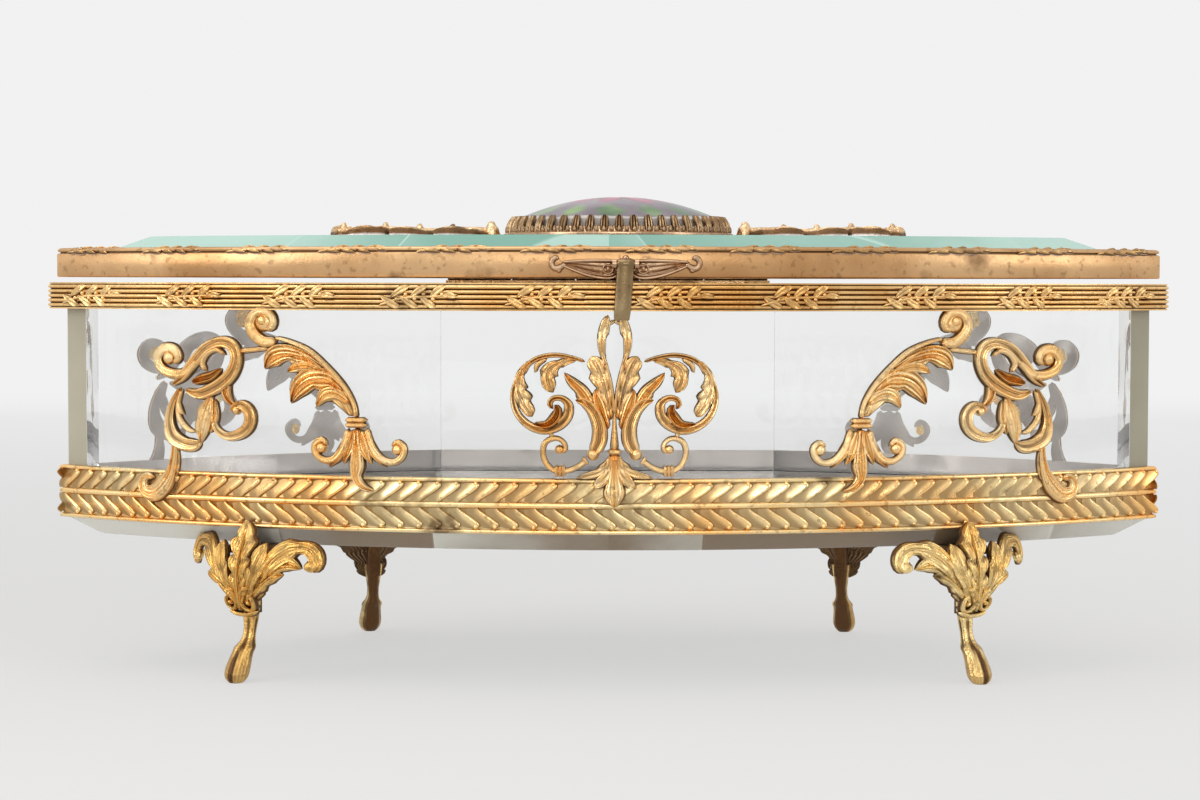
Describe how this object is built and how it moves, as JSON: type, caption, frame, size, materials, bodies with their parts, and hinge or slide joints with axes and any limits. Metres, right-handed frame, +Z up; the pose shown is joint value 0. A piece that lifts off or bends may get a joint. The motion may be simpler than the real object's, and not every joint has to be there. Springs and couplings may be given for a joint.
{
  "type": "glass casket box",
  "caption": "Bow-fronted casket of bevelled glass in gilt brass bands, with a hinged lid, domed medallion, openwork mounts and hoof feet.",
  "frame": {"origin": "middle of the bounding box, on the floor that the four hoofs stand on", "axes": "+Z up, the bowed front faces -Y, the lid hinges at the +Y side, +X along the width to the right as seen from the front"},
  "size_m": [0.28, 0.1162, 0.117],
  "materials": {
    "wall_glass": "clear polished plate glass",
    "base_glass": "clear plate glass with a ground and polished bevel",
    "lid_glass": "sea-green tinted plate glass with a polished bevel",
    "gilt_bands": "stamped and gilt, bright on the relief and brown in the recesses",
    "plain_rail": "satin gilt band, worn and spotted",
    "mounts": "cast, chased and gilt, warm orange gold",
    "feet": "cast, chased and gilt, bright yellow gold",
    "aged_brass": "dark worn brass",
    "enamel": "glossy domed enamel in greys, greens and crimson"
  },
  "bodies": {
    "casket": {"base_glass": "base_glass", "front_glass": "wall_glass", "left_glass": "wall_glass", "right_glass": "wall_glass", "back_glass": "wall_glass", "lower_band_front": "gilt_bands", "lower_band_left": "gilt_bands", "lower_band_right": "gilt_bands", "lower_band_back": "gilt_bands", "upper_band_front": "gilt_bands", "upper_band_left": "gilt_bands", "upper_band_right": "gilt_bands", "upper_band_back": "gilt_bands", "front_left_mount": "mounts", "front_centre_mount": "mounts", "front_right_mount": "mounts", "rear_left_mount": "mounts", "rear_right_mount": "mounts", "front_left_foot": "feet", "front_right_foot": "feet", "rear_left_foot": "feet", "rear_right_foot": "feet", "hinge_body_leaf": "aged_brass", "hinge_pin": "aged_brass"},
    "lid": {"hinge_lid_leaf": "aged_brass", "lid_glass": "lid_glass", "lid_rail_front": "plain_rail", "lid_rail_left": "plain_rail", "lid_rail_right": "plain_rail", "lid_rail_back": "plain_rail", "medallion_plate": "aged_brass", "medallion_bezel": "aged_brass", "medallion_dome": "enamel", "lid_spray_left": "mounts", "lid_spray_right": "mounts", "clasp_plaque": "aged_brass", "clasp_pin": "aged_brass"},
    "tongue": {"clasp_tongue": "aged_brass"}
  },
  "joints": [
    {"name": "lid_hinge", "type": "hinge", "parent": "casket", "child": "lid", "pos_m": [0, 0.0565, 0.0972], "axis": [-1, 0, 0], "range_deg": [0, 100]},
    {"name": "tongue_swing", "type": "hinge", "parent": "lid", "child": "tongue", "pos_m": [0.0038, -0.057, 0.0997], "axis": [-1, 0, 0], "range_deg": [0, 110]}
  ]
}
